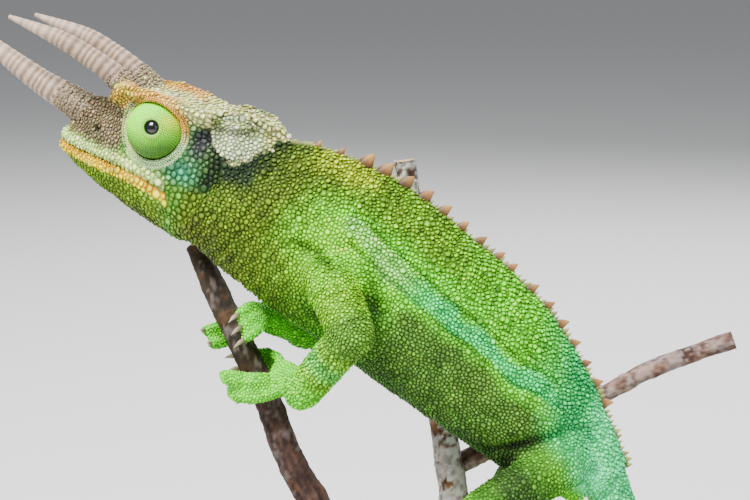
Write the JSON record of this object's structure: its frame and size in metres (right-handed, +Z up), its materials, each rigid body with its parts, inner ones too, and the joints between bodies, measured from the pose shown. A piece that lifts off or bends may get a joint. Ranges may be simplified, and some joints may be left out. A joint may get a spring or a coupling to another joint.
{
  "type": "chameleon figure",
  "caption": "Life-size still model of a three-horned green chameleon climbing two cut stems on a plain display stand.",
  "frame": {"origin": "centre of the display base's underside, on the floor", "axes": "+X towards the tail, -X the way the animal faces, -Y its left side (towards the viewer), +Z up"},
  "size_m": [0.1609, 0.092, 0.1663],
  "materials": {
    "skin": "scaly painted skin, green with a turquoise stripe",
    "eye": "fine-scaled lime turret, dark glossy pupil",
    "horn": "ringed tan horn",
    "bark": "red-brown bark with pale lichen",
    "base": "satin dark wood",
    "rod": "brushed"
  },
  "bodies": {
    "root": {"eye_left": "eye", "eye_right": "eye", "foot_fore_left": "skin", "foot_fore_right": "skin", "foot_hind_left": "skin", "foot_hind_right": "skin", "head": "skin", "horn_left": "horn", "horn_nose": "horn", "horn_right": "horn", "lower_fore_left": "skin", "lower_fore_right": "skin", "lower_hind_left": "skin", "lower_hind_right": "skin", "lower_jaw": "skin", "neck": "skin", "perch_front_stem": "bark", "perch_rear_stem": "bark", "perch_side_branch": "bark", "stand_base": "base", "stand_rod_front": "rod", "stand_rod_rear": "rod", "tail_1": "skin", "tail_2": "skin", "tail_3": "skin", "tail_4": "skin", "tail_5": "skin", "trunk_front": "skin", "trunk_rear": "skin", "upper_fore_left": "skin", "upper_fore_right": "skin", "upper_hind_left": "skin", "upper_hind_right": "skin"}
  },
  "joints": []
}
